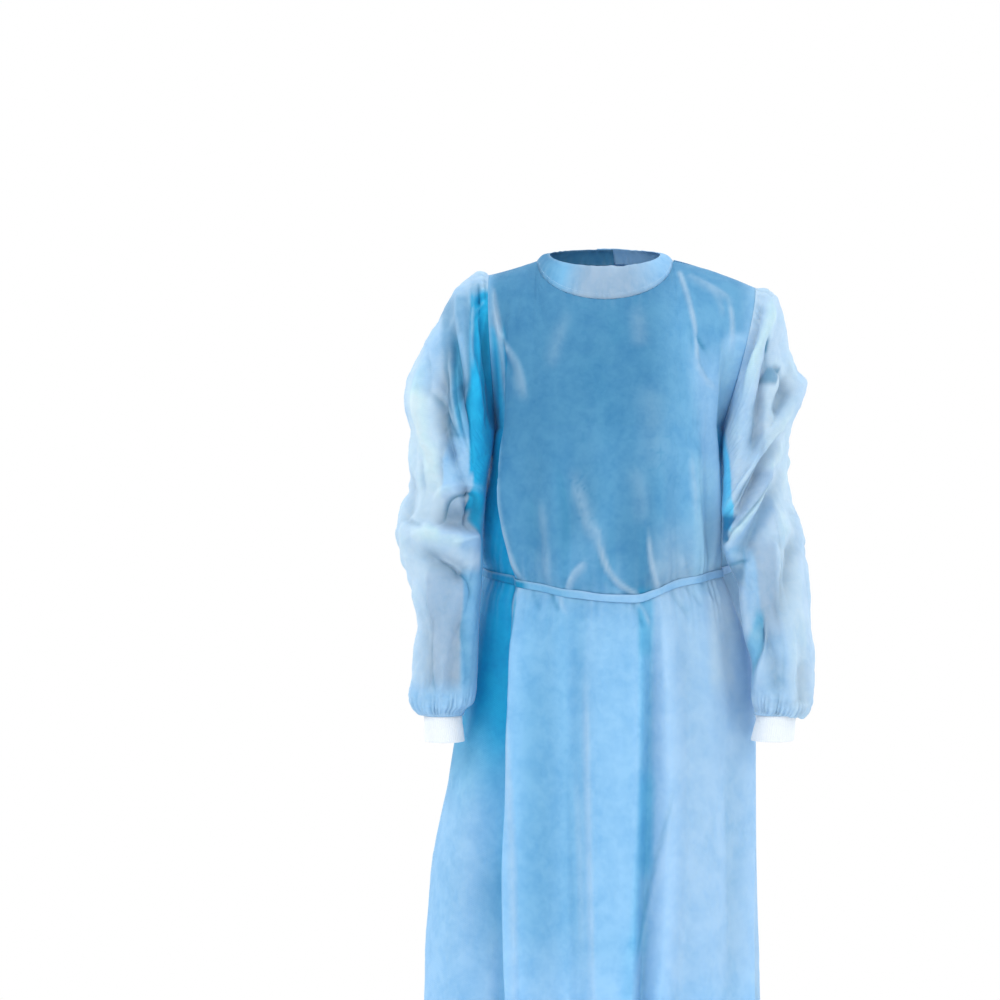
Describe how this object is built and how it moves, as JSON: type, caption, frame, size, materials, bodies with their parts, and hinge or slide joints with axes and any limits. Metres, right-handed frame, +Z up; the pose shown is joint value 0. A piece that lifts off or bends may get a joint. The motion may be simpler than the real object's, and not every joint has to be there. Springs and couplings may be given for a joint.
{
  "type": "isolation gown",
  "caption": "Long-sleeved light blue isolation gown in the form it takes when worn: hollow cloth panels, neck binding, tied waist, knitted cuffs and an overlapped open back.",
  "frame": {"origin": "The middle of the neck opening, level with the points where the shoulder seams reach the neck, where the wearer's shoulders carry the gown.", "axes": "+Z is up the height of the gown. The front faces -Y and the open back +Y. The wearer's left is +X."},
  "size_m": [0.5398, 0.3598, 1.1624],
  "materials": {
    "nonwoven": "matt spunbonded nonwoven",
    "knit": "white rib knit"
  },
  "bodies": {
    "root": {"front": "nonwoven", "back_left": "nonwoven", "back_right": "nonwoven", "sleeve_left": "nonwoven", "sleeve_right": "nonwoven", "neck_binding": "nonwoven", "belt": "nonwoven", "belt_knot": "nonwoven", "belt_end_left": "nonwoven", "belt_end_right": "nonwoven", "neck_knot": "nonwoven", "neck_end_left": "nonwoven", "neck_end_right": "nonwoven", "cuff_left": "knit", "cuff_right": "knit"}
  },
  "joints": []
}
